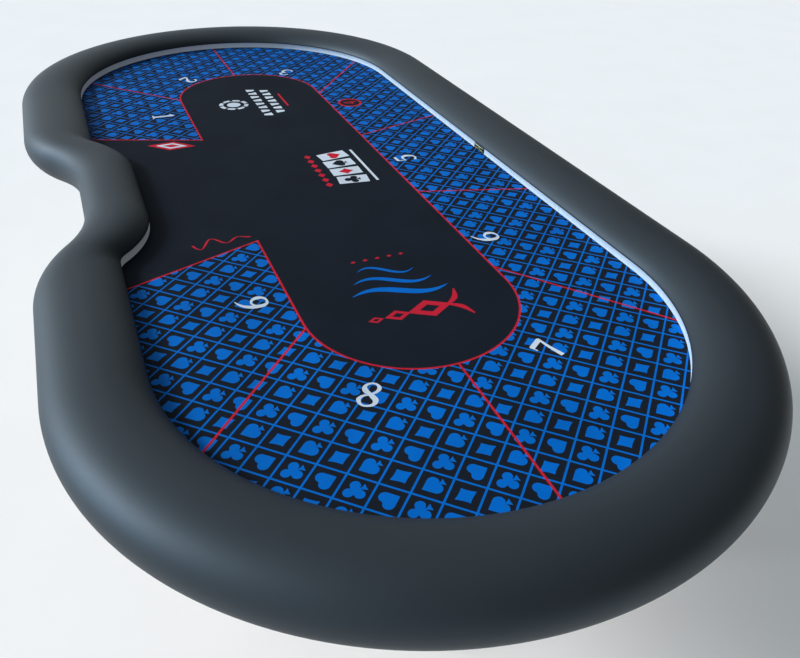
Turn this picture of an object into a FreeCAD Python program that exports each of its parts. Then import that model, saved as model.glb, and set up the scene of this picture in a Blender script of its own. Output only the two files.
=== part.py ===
"""Poker table: padded rail, printed playing surface, light band and two folding leg frames.

Millimetres. +X runs along the table, +Z is up, and the dealer's notch faces -Y.
The origin is on the floor, under the middle of the table.
"""
import FreeCAD, Part
import math
import os

Vector = FreeCAD.Vector
UP = Vector(0, 0, 1)
ALONG_Y = Vector(0, 1, 0)

# Table top
CLOTH_Z = 740.0            # top of the cloth above the floor
HALF_LENGTH = 1215.0
HALF_WIDTH = 580.0
RAIL_WIDTH = 145.0
STRAIGHT = HALF_LENGTH - HALF_WIDTH
PLAY_HALF_WIDTH = HALF_WIDTH - RAIL_WIDTH

# Dealer's notch: (depth, half of the flat, radius at the flat, radius at the shoulder)
NOTCH_INNER = (70.0, 122.0, 214.0, 40.0)
NOTCH_OUTER = (100.0, 65.0, 290.0, 285.0)

# Rail section, a rounded roll
ROLL_CENTRE_Z = CLOTH_Z - 3.0
ROLL_HALF_HEIGHT = 51.0
ROLL_POWER = 2.2
OUTER_ANGLES = (-75, -64, -52, -40, -28, -14, 0, 14, 28, 40, 52, 64, 76, 86)
INNER_ANGLES = (157.5, 146, 134, 122, 109, 94)
VINYL = 1.5

# Boards and playing surface
PLY = 18.0
RING_PLY = 12.0
FOAM = 6.0
CLOTH = 1.0
BOARD_EDGE = 3.0           # the playing board runs this far under the light band
WRAP = 25.0                # cloth turned under the board
RISER_TOP_Z = CLOTH_Z + 17.0
RISER_GAP = 9.2            # from the edge of the cloth to the riser's inner face
RISER_INSET = 54.0
BASE_INSET = 49.0
TURN_IN_INSET = 62.0       # the vinyl ends this far in, under the base
RING_INNER = 20.0
RING_INSET = 25.0
PACKER_X = (-900.0, -450.0, 0.0, 450.0, 900.0)
PACKER_WIDTH = 60.0

# Light band
BAND_BOTTOM_Z = CLOTH_Z + 0.6
BAND_TOP_Z = RISER_TOP_Z - 0.3
DIFFUSER = 1.5
CHANNEL_DEPTH = 9.0
CHANNEL_WALL = 1.2
STRIP_WIDTH = 10.0
STRIP = 1.2
JUNCTION = (45.0, 3.0, 12.0)
JUNCTION_X = 19.0
LEAD_RADIUS = 2.0
LEAD_Y = PLAY_HALF_WIDTH + 24.0
LEAD_BEND = 8.0

# Light controller, under the rail
CASE = (84.0, 46.0, 20.0)
CASE_Y = LEAD_Y + 14.0
CASE_WALL = 2.0
INLET_RADIUS = 5.0
INLET_BORE = 2.75
INLET_PIN = 1.0
INLET_LENGTH = 13.0

# Rail bolts
BOLT_RADIUS = 4.0
BOLT_HEAD = (6.5, 5.5)     # half width across flats, height
WASHER = (12.0, 1.6)
TEE_FLANGE = (11.0, 1.5)
TEE_BARREL = (5.2, 12.0)
TEE_TOP_Z = RISER_TOP_Z - 6.0

# Battens under the base
SIDE_BATTEN = (1000.0, 44.0, 30.0)
SIDE_BATTEN_Y = 352.0
END_BATTEN = (44.0, 620.0, 30.0)
END_BATTEN_X = 730.0
SCREW_RADIUS = 2.2
SCREW_HEAD = 4.2
SCREW_HEAD_HEIGHT = 2.4
SCREW_BITE = 12.0

# Folding leg frames
LEG_X = 560.0
LEG_SPREAD = {"near": 300.0, "far": 255.0}
LEG_SIDE = {"near": 1, "far": -1}
TUBE_RADIUS = 16.0
TUBE_WALL = 1.5
BAR_RADIUS = 12.5
BAR_DROPS = (130.0, 430.0)
HINGE_DROP = 25.65         # hinge axis below the base board
TUBE_ABOVE_HINGE = 14.0
PIVOT_RADIUS = 4.0
RUNNING = 0.05
PLATE = 3.0
PLATE_SIZE = (96.0, 84.0)
CHEEK_HALF = 22.0
CHEEK_BELOW = 34.0
CHEEK_GAP = 0.5
STOP_GAP = 0.4
STOP_TOP = 18.0
FOOT_RADIUS = 20.0
FOOT_HEIGHT = 34.0
FOOT_SOLE = 5.0
KNOB_RADIUS = 17.0
KNOB_LOBE = 5.0
KNOB_LOBES = 6
KNOB_HEIGHT = 13.0
KNOB_HUB = (9.0, 7.0)
KNOB_GAP = 0.4

nodes = {}


def notch_blend(part):
    """Notch numbers between the inner outline (0) and the outer outline (1)."""
    return tuple(a + (b - a) * part for a, b in zip(NOTCH_INNER, NOTCH_OUTER))


def outline(half_width, notch, z):
    """Closed wire: straight sides, round ends and the dealer's notch on the -Y side."""
    depth, flat, flat_radius, shoulder_radius = notch
    both = flat_radius + shoulder_radius
    turn = math.acos(1 - depth / both)
    mouth = flat + both * math.sin(turn)
    floor_y = -half_width + depth

    def shoulder(side, angle):
        return Vector(side * (mouth - shoulder_radius * math.sin(angle)),
                      -half_width + shoulder_radius * (1 - math.cos(angle)), z)

    def bend(side, angle):
        return Vector(side * (flat + flat_radius * math.sin(angle)),
                      floor_y - flat_radius * (1 - math.cos(angle)), z)

    def side_arc(side, place):
        return [place(side, 0), place(side, turn / 2), place(side, turn)]

    def end_arc(side, start):
        points = []
        for angle in (start, start + 45, start + 90):
            a = math.radians(angle)
            points.append(Vector(side * STRAIGHT + half_width * math.cos(a), half_width * math.sin(a), z))
        return points

    edges = [Part.LineSegment(Vector(STRAIGHT, half_width, z), Vector(-STRAIGHT, half_width, z)).toShape()]
    arcs = [end_arc(-1, 90), end_arc(-1, 180)]
    edges += [Part.Arc(*arc).toShape() for arc in arcs]
    edges.append(Part.LineSegment(Vector(-STRAIGHT, -half_width, z), shoulder(-1, 0)).toShape())
    edges.append(Part.Arc(*side_arc(-1, shoulder)).toShape())
    edges.append(Part.Arc(*reversed(side_arc(-1, bend))).toShape())
    edges.append(Part.LineSegment(bend(-1, 0), bend(1, 0)).toShape())
    edges.append(Part.Arc(*side_arc(1, bend)).toShape())
    edges.append(Part.Arc(*reversed(side_arc(1, shoulder))).toShape())
    edges.append(Part.LineSegment(shoulder(1, 0), Vector(STRAIGHT, -half_width, z)).toShape())
    edges += [Part.Arc(*arc).toShape() for arc in (end_arc(1, 270), end_arc(1, 0))]
    return Part.Wire(edges)


def inside_outline(outward, z):
    """The edge of the cloth, moved outward by a constant distance."""
    depth, flat, flat_radius, shoulder_radius = NOTCH_INNER
    notch = (depth, flat, flat_radius - outward, shoulder_radius + outward)
    return outline(PLAY_HALF_WIDTH + outward, notch, z)


def outside_outline(inset, z):
    """The table's outer edge, moved inward by a constant distance."""
    depth, flat, flat_radius, shoulder_radius = NOTCH_OUTER
    notch = (depth, flat, flat_radius + inset, shoulder_radius - inset)
    return outline(HALF_WIDTH - inset, notch, z)


def rail_outline(part, z):
    """An outline part of the way across the rail: 0 at its inner edge, 1 at its outer edge."""
    return outline(PLAY_HALF_WIDTH + RAIL_WIDTH * part, notch_blend(part), z)


def slab(wire, height):
    return Part.Face(wire).extrude(UP * height)


def roll_point(angle, skin):
    """(place across the rail, height) of the roll at an angle, this far under its surface."""
    a = math.radians(angle)
    power = 2 / ROLL_POWER
    across = math.copysign(abs(math.cos(a)) ** power, math.cos(a))
    rise = math.copysign(abs(math.sin(a)) ** power, math.sin(a))
    half = RAIL_WIDTH / 2
    return 0.5 + across * (half - skin) / RAIL_WIDTH, ROLL_CENTRE_Z + rise * (ROLL_HALF_HEIGHT - skin)


def roll_body(skin):
    """The solid roll of the rail, with the playing well cut out of its middle."""
    outer = [rail_outline(*roll_point(angle, skin)) for angle in OUTER_ANGLES]
    body = Part.makeLoft(outer, True, True)
    levels = [roll_point(angle, skin) for angle in INNER_ANGLES]
    low_part, high_part = levels[0][0], levels[-1][0]
    inner = [rail_outline(low_part, ROLL_CENTRE_Z - 2 * ROLL_HALF_HEIGHT)]
    inner += [rail_outline(*level) for level in levels]
    inner.append(rail_outline(high_part, ROLL_CENTRE_Z + 2 * ROLL_HALF_HEIGHT))
    return body.cut(Part.makeLoft(inner, True, True))


BASE_BOTTOM_Z = roll_point(OUTER_ANGLES[0], VINYL)[1]
BASE_TOP_Z = BASE_BOTTOM_Z + PLY
BOARD_TOP_Z = CLOTH_Z - CLOTH - FOAM
BOARD_BOTTOM_Z = BOARD_TOP_Z - PLY
HINGE_Z = BASE_BOTTOM_Z - HINGE_DROP


def cylinder(radius, height, base, axis=UP):
    return Part.makeCylinder(radius, height, base, axis)


def pipe(radius, wall, height, base, axis=UP):
    return cylinder(radius, height, base, axis).cut(cylinder(radius - wall, height, base, axis))


def box(size, centre, bottom_z):
    """A box centred in plan on a point, standing on a height."""
    corner = Vector(centre[0] - size[0] / 2, centre[1] - size[1] / 2, bottom_z)
    return Part.makeBox(size[0], size[1], size[2], corner)


def joined(shapes):
    return shapes[0].multiFuse(shapes[1:]).removeSplitter()


def group(shapes):
    return Part.makeCompound(shapes)


def rail_bolt_places():
    """Bolt centres round the rail: along the sides, round the ends and beside the notch."""
    middle = (PLAY_HALF_WIDTH + RISER_GAP + HALF_WIDTH - RISER_INSET) / 2
    places = [(x, middle) for x in (-STRAIGHT, -210.0, 210.0, STRAIGHT)]
    places += [(x, -middle) for x in (-STRAIGHT, STRAIGHT)]
    places += [(side * 60.0, -400.0) for side in (-1, 1)]
    for side in (-1, 1):
        for angle in (-45, 0, 45):
            a = math.radians(angle)
            places.append((side * (STRAIGHT + middle * math.cos(a)), middle * math.sin(a)))
    return places


def board_screw_places():
    return [(x, y) for x in PACKER_X for y in (-200.0, 200.0)]


def packers():
    """Strips that lift the playing board off the base."""
    strips = []
    for x in PACKER_X:
        over = max(0.0, abs(x) + PACKER_WIDTH / 2 - STRAIGHT)
        reach = math.sqrt(PLAY_HALF_WIDTH ** 2 - over ** 2) - WRAP - 15.0
        low = -reach if abs(x) > 1 else -reach + NOTCH_INNER[0]
        centre = (x, (reach + low) / 2)
        strips.append(box((PACKER_WIDTH, reach - low, BOARD_BOTTOM_Z - BASE_TOP_Z), centre, BASE_TOP_Z))
    depth = BOARD_BOTTOM_Z - BASE_TOP_Z
    return group([drill(strip, board_screw_places(), BASE_TOP_Z, depth) for strip in strips])


def drill(shape, places, low, depth, radius=SCREW_RADIUS):
    for x, y in places:
        shape = shape.cut(cylinder(radius, depth, Vector(x, y, low)))
    return shape


def base_board():
    shape = slab(outside_outline(BASE_INSET, BASE_BOTTOM_Z), PLY)
    shape = drill(shape, rail_bolt_places(), BASE_BOTTOM_Z, PLY, BOLT_RADIUS + 0.3)
    shape = drill(shape, [(0, LEAD_Y)], BASE_BOTTOM_Z, PLY, LEAD_RADIUS + 0.5)
    shape = drill(shape, board_screw_places(), BASE_BOTTOM_Z, PLY)
    short = case_screw_places() + batten_screw_places() + plate_screw_places()
    return drill(shape, short, BASE_BOTTOM_Z, SCREW_BITE)


def play_board():
    shape = slab(inside_outline(BOARD_EDGE, BOARD_BOTTOM_Z), PLY)
    return drill(shape, board_screw_places(), BOARD_BOTTOM_Z, SCREW_BITE)


def play_foam():
    return slab(inside_outline(BOARD_EDGE, BOARD_TOP_Z), FOAM)


def speed_cloth():
    """The printed cloth, stretched over the foam and turned under the board."""
    low = BOARD_BOTTOM_Z - CLOTH
    shape = slab(inside_outline(BOARD_EDGE + CLOTH, low), CLOTH_Z - low)
    shape = shape.cut(slab(inside_outline(BOARD_EDGE, BOARD_BOTTOM_Z), CLOTH_Z - CLOTH - BOARD_BOTTOM_Z))
    return shape.cut(slab(inside_outline(-WRAP, low - 1), CLOTH + 1))


def tee_pocket(x, y):
    barrel = cylinder(TEE_BARREL[0], TEE_TOP_Z - BASE_TOP_Z, Vector(x, y, BASE_TOP_Z))
    flange = cylinder(TEE_FLANGE[0] + 0.2, RISER_TOP_Z - TEE_TOP_Z + TEE_FLANGE[1],
                      Vector(x, y, TEE_TOP_Z - TEE_FLANGE[1]))
    return barrel.fuse(flange)


def rail_riser():
    """The solid wall under the rail that the light band is fixed to."""
    height = RISER_TOP_Z - BASE_TOP_Z
    shape = slab(outside_outline(RISER_INSET, BASE_TOP_Z), height)
    shape = shape.cut(slab(inside_outline(RISER_GAP, BASE_TOP_Z), height))
    for x, y in rail_bolt_places():
        shape = shape.cut(tee_pocket(x, y))
    return shape.cut(lead_path(LEAD_RADIUS + 0.5))


def rail_ring_board():
    shape = slab(outside_outline(RING_INSET, RISER_TOP_Z), RING_PLY)
    return shape.cut(slab(inside_outline(RING_INNER, RISER_TOP_Z), RING_PLY))


def rail_bolts():
    bolts = []
    for x, y in rail_bolt_places():
        head_z = BASE_BOTTOM_Z - WASHER[1] - BOLT_HEAD[1]
        corner = BOLT_HEAD[0] / math.cos(math.radians(30))
        points = []
        for step in range(7):
            a = math.radians(60 * step)
            points.append(Vector(x + corner * math.cos(a), y + corner * math.sin(a), head_z))
        head = slab(Part.makePolygon(points), BOLT_HEAD[1])
        shank = cylinder(BOLT_RADIUS, TEE_TOP_Z - head_z - BOLT_HEAD[1], Vector(x, y, head_z + BOLT_HEAD[1]))
        bolts.append(head.fuse(shank))
    return group(bolts)


def rail_washers():
    rings = []
    for x, y in rail_bolt_places():
        base = Vector(x, y, BASE_BOTTOM_Z - WASHER[1])
        rings.append(pipe(WASHER[0], WASHER[0] - BOLT_RADIUS - 0.3, WASHER[1], base))
    return group(rings)


def rail_tee_nuts():
    nuts = []
    for x, y in rail_bolt_places():
        flange = pipe(TEE_FLANGE[0], TEE_FLANGE[0] - BOLT_RADIUS, TEE_FLANGE[1],
                      Vector(x, y, TEE_TOP_Z - TEE_FLANGE[1]))
        barrel = pipe(TEE_BARREL[0], TEE_BARREL[0] - BOLT_RADIUS, TEE_BARREL[1],
                      Vector(x, y, TEE_TOP_Z - TEE_FLANGE[1] - TEE_BARREL[1]))
        nuts.append(flange.fuse(barrel).removeSplitter())
    return group(nuts)


def wood_core():
    """Everything inside the rail that the foam and the vinyl go round."""
    riser = slab(outside_outline(RISER_INSET, BASE_BOTTOM_Z), RISER_TOP_Z - BASE_BOTTOM_Z)
    base = slab(outside_outline(BASE_INSET, BASE_BOTTOM_Z), PLY)
    return riser.fuse(base)


def rail_cover():
    """Vinyl skin: over the roll, down its outer side and turned in under the base."""
    under = slab(outside_outline(TURN_IN_INSET, BASE_BOTTOM_Z - 2 * VINYL), 2 * VINYL)
    skin = roll_body(0.0).cut(roll_body(VINYL))
    return skin.cut(under).cut(wood_core())


def rail_foam():
    return roll_body(VINYL).cut(wood_core()).cut(rail_ring_board())


def band_ring(front, back, low, high):
    shape = slab(inside_outline(back, low), high - low)
    return shape.cut(slab(inside_outline(front, low), high - low))


def led_diffuser():
    return band_ring(0.0, DIFFUSER, BAND_BOTTOM_Z, BAND_TOP_Z)


def led_channel():
    shape = band_ring(DIFFUSER, CHANNEL_DEPTH, BAND_BOTTOM_Z, BAND_TOP_Z)
    back = CHANNEL_DEPTH - CHANNEL_WALL
    hollow = band_ring(DIFFUSER, back, BAND_BOTTOM_Z + CHANNEL_WALL, BAND_TOP_Z - CHANNEL_WALL)
    return shape.cut(hollow).cut(lead_path(LEAD_RADIUS + 0.3))


def led_strip():
    back = CHANNEL_DEPTH - CHANNEL_WALL
    low = (BAND_BOTTOM_Z + BAND_TOP_Z - STRIP_WIDTH) / 2
    return band_ring(back - STRIP, back, low, low + STRIP_WIDTH)


def led_junction():
    """Small joiner clipped over the ends of the light band, opposite the notch."""
    low = (BAND_BOTTOM_Z + BAND_TOP_Z - JUNCTION[2]) / 2
    shape = box(JUNCTION, (JUNCTION_X, PLAY_HALF_WIDTH - JUNCTION[1] / 2), low)
    return shape.makeFillet(1.0, [e for e in shape.Edges if e.BoundBox.YMax < PLAY_HALF_WIDTH - 1.0])


def lead_path(radius):
    """The feed wire: up from the controller and forward into the light channel."""
    low = BASE_BOTTOM_Z - 1.0
    high = (BAND_BOTTOM_Z + BAND_TOP_Z) / 2
    front = PLAY_HALF_WIDTH + CHANNEL_DEPTH - CHANNEL_WALL + 0.2
    bend_z = high - LEAD_BEND
    rise = cylinder(radius, bend_z - low, Vector(0, LEAD_Y, low))
    centre = Vector(0, LEAD_Y - LEAD_BEND, bend_z)
    ring = Part.makeTorus(LEAD_BEND, radius, centre, Vector(1, 0, 0))
    quarter = Part.makeBox(2 * radius, LEAD_BEND + radius, LEAD_BEND + radius, centre - Vector(radius, 0, 0))
    run = cylinder(radius, LEAD_Y - LEAD_BEND - front, Vector(0, front, high), ALONG_Y)
    return joined([rise, ring.common(quarter), run])


def controller_case():
    low = BASE_BOTTOM_Z - CASE[2]
    shape = box((CASE[0], CASE[1], CASE[2] - 1.0), (0, CASE_Y), low)
    hollow = (CASE[0] - 2 * CASE_WALL, CASE[1] - 2 * CASE_WALL, CASE[2] - 1.0 - CASE_WALL)
    shape = shape.cut(box(hollow, (0, CASE_Y), low + CASE_WALL))
    return shape.cut(inlet_hole(INLET_RADIUS))


def inlet_place():
    return Vector(CASE[0] / 2, CASE_Y, BASE_BOTTOM_Z - CASE[2] / 2 - 0.5)


def inlet_hole(radius):
    return cylinder(radius, 2 * CASE_WALL, inlet_place() - Vector(1.5 * CASE_WALL, 0, 0), Vector(1, 0, 0))


def dc_inlet():
    """Round power socket in the end of the controller, with its centre pin."""
    face = inlet_place()
    back = face - Vector(INLET_LENGTH, 0, 0)
    body = cylinder(INLET_RADIUS, INLET_LENGTH, back, Vector(1, 0, 0))
    collar = cylinder(INLET_RADIUS + 2.0, 1.5, face, Vector(1, 0, 0))
    depth = INLET_LENGTH - 1.5
    bore = cylinder(INLET_BORE, depth + 1.5, face - Vector(depth, 0, 0), Vector(1, 0, 0))
    pin = cylinder(INLET_PIN, depth, back + Vector(1.0, 0, 0), Vector(1, 0, 0))
    return joined([body, collar]).cut(bore).fuse(pin)


def controller_plate():
    """The plate between the controller and the base board, with two screw ears."""
    plate = box((CASE[0] + 28.0, CASE[1], 1.0), (0, CASE_Y), BASE_BOTTOM_Z - 1.0)
    plate = plate.cut(cylinder(LEAD_RADIUS + 0.5, 2.0, Vector(0, LEAD_Y, BASE_BOTTOM_Z - 1.5)))
    return drill(plate, case_screw_places(), BASE_BOTTOM_Z - 1.5, 2.0)


def screw(x, y, face_z, length):
    """Pan-head wood screw driven up into a face."""
    head = Part.makeCone(0.7 * SCREW_HEAD, SCREW_HEAD, SCREW_HEAD_HEIGHT, Vector(x, y, face_z - SCREW_HEAD_HEIGHT))
    shank = cylinder(SCREW_RADIUS, length, Vector(x, y, face_z))
    return head.fuse(shank).removeSplitter()


def case_screw_places():
    return [(side * (CASE[0] / 2 + 7.0), CASE_Y) for side in (-1, 1)]


def batten_screw_places():
    places = [(x, side * SIDE_BATTEN_Y) for x in (-450.0, -225.0, 0.0, 225.0, 450.0) for side in (-1, 1)]
    return places + [(side * END_BATTEN_X, y) for side in (-1, 1) for y in (-270.0, 0.0, 270.0)]


def plate_screw_places():
    """Screws of the four leg brackets."""
    places = []
    for end, hand, x, y in leg_places():
        places += bracket_screw_places(x, y)
    return places


def screws_below(places, face_z, length):
    return group([screw(x, y, face_z, length) for x, y in places])


def leg_places():
    """(name, end, side of the table, hinge x, tube y) of the four legs."""
    places = []
    for end, side in LEG_SIDE.items():
        for hand, sign in (("left", -1), ("right", 1)):
            places.append((end, hand, side * LEG_X, sign * LEG_SPREAD[end]))
    return places


def bracket_screw_places(x, y):
    return [(x + dx, y + dy) for dx in (-38.0, 38.0) for dy in (-31.0, 31.0)]


def leg_bracket(x, y, outward):
    """Folded steel bracket: plate, two cheeks and the stop the leg stands against."""
    plate = box((PLATE_SIZE[0], PLATE_SIZE[1], PLATE), (x, y), BASE_BOTTOM_Z - PLATE)
    plate = drill(plate, bracket_screw_places(x, y), BASE_BOTTOM_Z - PLATE, PLATE)
    inner = TUBE_RADIUS + CHEEK_GAP
    height = HINGE_DROP - PLATE + CHEEK_BELOW
    low = HINGE_Z - CHEEK_BELOW
    shapes = [plate]
    for side in (-1, 1):
        cheek = box((2 * CHEEK_HALF, PLATE, height), (x, y + side * (inner + PLATE / 2)), low)
        corners = [e for e in cheek.Edges if e.BoundBox.ZMax < low + 1 and e.BoundBox.XLength < 1]
        shapes.append(cheek.makeFillet(8.0, corners))
    stop_x = x + outward * (TUBE_RADIUS + STOP_GAP + PLATE / 2)
    shapes.append(box((PLATE, 2 * inner, CHEEK_BELOW - STOP_TOP), (stop_x, y), low))
    shape = joined(shapes)
    hole = cylinder(PIVOT_RADIUS, 2 * inner + 4 * PLATE, Vector(x, y - inner - 2 * PLATE, HINGE_Z), ALONG_Y)
    return shape.cut(hole)


def pivot_bolt(x, y, side):
    """Cup-head bolt through both cheeks; its end carries the clamp knob."""
    half = TUBE_RADIUS + CHEEK_GAP + PLATE
    axis = ALONG_Y * side
    start = Vector(x, y, HINGE_Z) - axis * half
    head = Part.makeSphere(9.0, start + axis * 5.0, axis)
    head = head.common(Part.makeBox(30, 20, 30, start - Vector(15, 10 + side * 10, 15)))
    shank = cylinder(PIVOT_RADIUS, 2 * half + KNOB_GAP + KNOB_HEIGHT - 2.0, start, axis)
    return head.fuse(shank).removeSplitter()


def clamp_knob(x, y, side):
    """Star knob on the end of the pivot bolt."""
    axis = ALONG_Y * side
    face = Vector(x, y, HINGE_Z) + axis * (TUBE_RADIUS + CHEEK_GAP + PLATE + KNOB_GAP)
    shapes = [cylinder(KNOB_HUB[0], KNOB_HUB[1], face, axis)]
    grip = face + axis * (KNOB_HEIGHT - 9.0)
    shapes.append(cylinder(KNOB_RADIUS - 3.0, 9.0, grip, axis))
    for lobe in range(KNOB_LOBES):
        a = math.radians(360 / KNOB_LOBES * lobe)
        place = Vector((KNOB_RADIUS - 2.0) * math.cos(a), 0, (KNOB_RADIUS - 2.0) * math.sin(a))
        shapes.append(cylinder(KNOB_LOBE, 9.0, grip + place, axis))
    bore = cylinder(PIVOT_RADIUS + RUNNING, KNOB_HEIGHT - 1.5, face, axis)
    return joined(shapes).cut(bore)


def leg_tube(x, y):
    top = HINGE_Z + TUBE_ABOVE_HINGE
    shape = pipe(TUBE_RADIUS, TUBE_WALL, top - FOOT_SOLE, Vector(x, y, FOOT_SOLE))
    hole = cylinder(PIVOT_RADIUS + RUNNING, 2 * TUBE_RADIUS, Vector(x, y - TUBE_RADIUS, HINGE_Z), ALONG_Y)
    return shape.cut(hole)


def leg_bar(x, spread, drop):
    """Cross bar welded between a frame's two tubes, coped to their outside."""
    z = HINGE_Z - drop
    shape = pipe(BAR_RADIUS, TUBE_WALL, 2 * spread, Vector(x, -spread, z), ALONG_Y)
    for side in (-1, 1):
        shape = shape.cut(cylinder(TUBE_RADIUS, 80.0, Vector(x, side * spread, z - 40.0)))
    return shape


def foot(x, y):
    """Rubber cap pushed over the end of a leg tube."""
    shape = cylinder(FOOT_RADIUS, FOOT_HEIGHT, Vector(x, y, 0))
    shape = shape.makeChamfer(1.5, [e for e in shape.Edges if e.BoundBox.ZLength < 1])
    return shape.cut(cylinder(TUBE_RADIUS, FOOT_HEIGHT, Vector(x, y, FOOT_SOLE)))


def make_top():
    nodes["base_board"] = base_board()
    nodes["board_packers"] = packers()
    through = BOARD_BOTTOM_Z + SCREW_BITE - BASE_BOTTOM_Z
    nodes["board_screws"] = screws_below(board_screw_places(), BASE_BOTTOM_Z, through)
    nodes["play_board"] = play_board()
    nodes["play_foam"] = play_foam()
    nodes["speed_cloth"] = speed_cloth()
    nodes["rail_riser"] = rail_riser()
    nodes["rail_ring_board"] = rail_ring_board()
    nodes["rail_foam"] = rail_foam()
    nodes["rail_cover"] = rail_cover()
    nodes["rail_bolts"] = rail_bolts()
    nodes["rail_washers"] = rail_washers()
    nodes["rail_tee_nuts"] = rail_tee_nuts()


def make_lights():
    nodes["led_diffuser"] = led_diffuser()
    nodes["led_channel"] = led_channel()
    nodes["led_strip"] = led_strip()
    nodes["led_junction"] = led_junction()
    nodes["led_lead"] = lead_path(LEAD_RADIUS)
    nodes["controller_case"] = controller_case()
    nodes["controller_plate"] = controller_plate()
    nodes["dc_inlet"] = dc_inlet()
    nodes["controller_screws"] = screws_below(case_screw_places(), BASE_BOTTOM_Z - 1.0, SCREW_BITE + 1.0)


def batten(size, centre):
    low = BASE_BOTTOM_Z - size[2]
    shape = box(size, centre, low)
    long_edges = [e for e in shape.Edges if e.BoundBox.ZMax < low + 1]
    shape = shape.makeChamfer(2.0, long_edges)
    return drill(shape, batten_screw_places(), low, size[2])


def make_battens():
    for hand, sign in (("left", -1), ("right", 1)):
        nodes["side_batten_" + hand] = batten(SIDE_BATTEN, (0, sign * SIDE_BATTEN_Y))
    for end, side in LEG_SIDE.items():
        nodes["end_batten_" + end] = batten(END_BATTEN, (side * END_BATTEN_X, 0))
    low = BASE_BOTTOM_Z - SIDE_BATTEN[2]
    nodes["batten_screws"] = screws_below(batten_screw_places(), low, SIDE_BATTEN[2] + SCREW_BITE)


def make_legs():
    for end, hand, x, y in leg_places():
        sign = 1 if y > 0 else -1
        name = end + "_" + hand
        nodes[name + "_bracket"] = leg_bracket(x, y, LEG_SIDE[end])
        nodes[name + "_pivot_bolt"] = pivot_bolt(x, y, sign)
        nodes[name + "_knob"] = clamp_knob(x, y, sign)
        nodes[name + "_tube"] = leg_tube(x, y)
        nodes[name + "_foot"] = foot(x, y)
    for end, side in LEG_SIDE.items():
        for level, drop in zip(("upper", "lower"), BAR_DROPS):
            nodes[end + "_" + level + "_bar"] = leg_bar(side * LEG_X, LEG_SPREAD[end], drop)
    nodes["bracket_screws"] = screws_below(plate_screw_places(), BASE_BOTTOM_Z - PLATE, PLATE + SCREW_BITE)


def write_parts():
    os.makedirs("parts", exist_ok=True)
    for name, shape in nodes.items():
        shape.exportStep("parts/" + name + ".step")
        print(name, "solids", len(shape.Solids), "valid", shape.isValid(), "cm3", round(shape.Volume / 1000, 1))


make_top()
make_lights()
make_battens()
make_legs()
write_parts()
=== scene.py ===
"""Poker table: upholstery, printed cloth, trim, finishes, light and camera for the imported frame.

Metres, in the frame of the CAD: +X runs along the table, +Z is up, and the dealer's notch faces -Y.
"""
import math
import bmesh
import bpy
import numpy as np
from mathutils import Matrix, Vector
from mathutils.geometry import delaunay_2d_cdt


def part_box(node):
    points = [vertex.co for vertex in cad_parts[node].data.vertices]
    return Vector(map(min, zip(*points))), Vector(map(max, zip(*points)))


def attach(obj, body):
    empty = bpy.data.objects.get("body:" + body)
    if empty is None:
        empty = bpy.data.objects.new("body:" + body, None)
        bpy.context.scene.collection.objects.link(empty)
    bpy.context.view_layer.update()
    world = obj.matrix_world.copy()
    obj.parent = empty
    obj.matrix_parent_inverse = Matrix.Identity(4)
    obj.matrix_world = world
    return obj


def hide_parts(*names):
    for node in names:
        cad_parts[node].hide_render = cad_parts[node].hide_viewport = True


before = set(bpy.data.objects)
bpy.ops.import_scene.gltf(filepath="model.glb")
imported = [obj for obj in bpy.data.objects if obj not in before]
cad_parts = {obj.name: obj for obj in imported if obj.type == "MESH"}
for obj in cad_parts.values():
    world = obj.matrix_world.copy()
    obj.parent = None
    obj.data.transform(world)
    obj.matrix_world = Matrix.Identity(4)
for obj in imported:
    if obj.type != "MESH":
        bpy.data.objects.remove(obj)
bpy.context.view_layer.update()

MM = 0.001

# Sizes of the table top, read from the frame
RAIL_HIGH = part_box("rail_cover")[1]
HALF_WIDTH = RAIL_HIGH.y
STRAIGHT = RAIL_HIGH.x - HALF_WIDTH
PLAY_HALF_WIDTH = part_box("led_junction")[1].y
RAIL_WIDTH = HALF_WIDTH - PLAY_HALF_WIDTH
CLOTH_LOW_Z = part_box("speed_cloth")[0].z
CLOTH_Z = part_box("speed_cloth")[1].z
CLOTH_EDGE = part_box("speed_cloth")[1].y - PLAY_HALF_WIDTH
RISER_TOP_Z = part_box("rail_riser")[1].z
BAND_LOW_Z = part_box("led_diffuser")[0].z
BAND_HIGH_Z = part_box("led_diffuser")[1].z
BAND_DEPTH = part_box("led_diffuser")[1].y - PLAY_HALF_WIDTH

# Dealer's notch: depth, half of the flat, radius at the flat, radius at the shoulder
NOTCH_INNER = np.array((0.070, 0.122, 0.214, 0.040))
NOTCH_OUTER = np.array((0.100, 0.065, 0.290, 0.285))
# How those four change as the outline moves inward, for each metre
NOTCH_OFFSET = np.array((0.0, 0.0, 1.0, -1.0))
# A little more than each curved side of the notch takes up along X
NOTCH_SIDE = 0.2

# Points along each stretch of an outline: the far side, an end, the near side beside the notch, and the
# notch's bends and floor
SIDE_POINTS = 72
END_POINTS = 120
SHORT_SIDE_POINTS = 22
BEND_POINTS = 14
NOTCH_FLOOR_POINTS = 10

# Rail roll, with its angles in degrees from the outer side, going over the top
ROLL_CENTRE_Z = CLOTH_Z - 3 * MM
ROLL_HALF_HEIGHT = RAIL_HIGH.z - ROLL_CENTRE_Z
ROLL_POWER = 2.2
ROLL_START = -75.0
ROLL_END = 160.0
ROLL_STEPS = 76

# Inner edge of the rail cover: the lip over the light band, the fold under it, the tuck on the riser
LIP_START = 105.0
LIP_OVERHANG = 5.6 * MM
LIP_FOLD = 1.5 * MM
LIP_FOLD_RISE = 0.3 * MM
TUCK = 18 * MM
TUCK_GAP = 0.2 * MM

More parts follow.
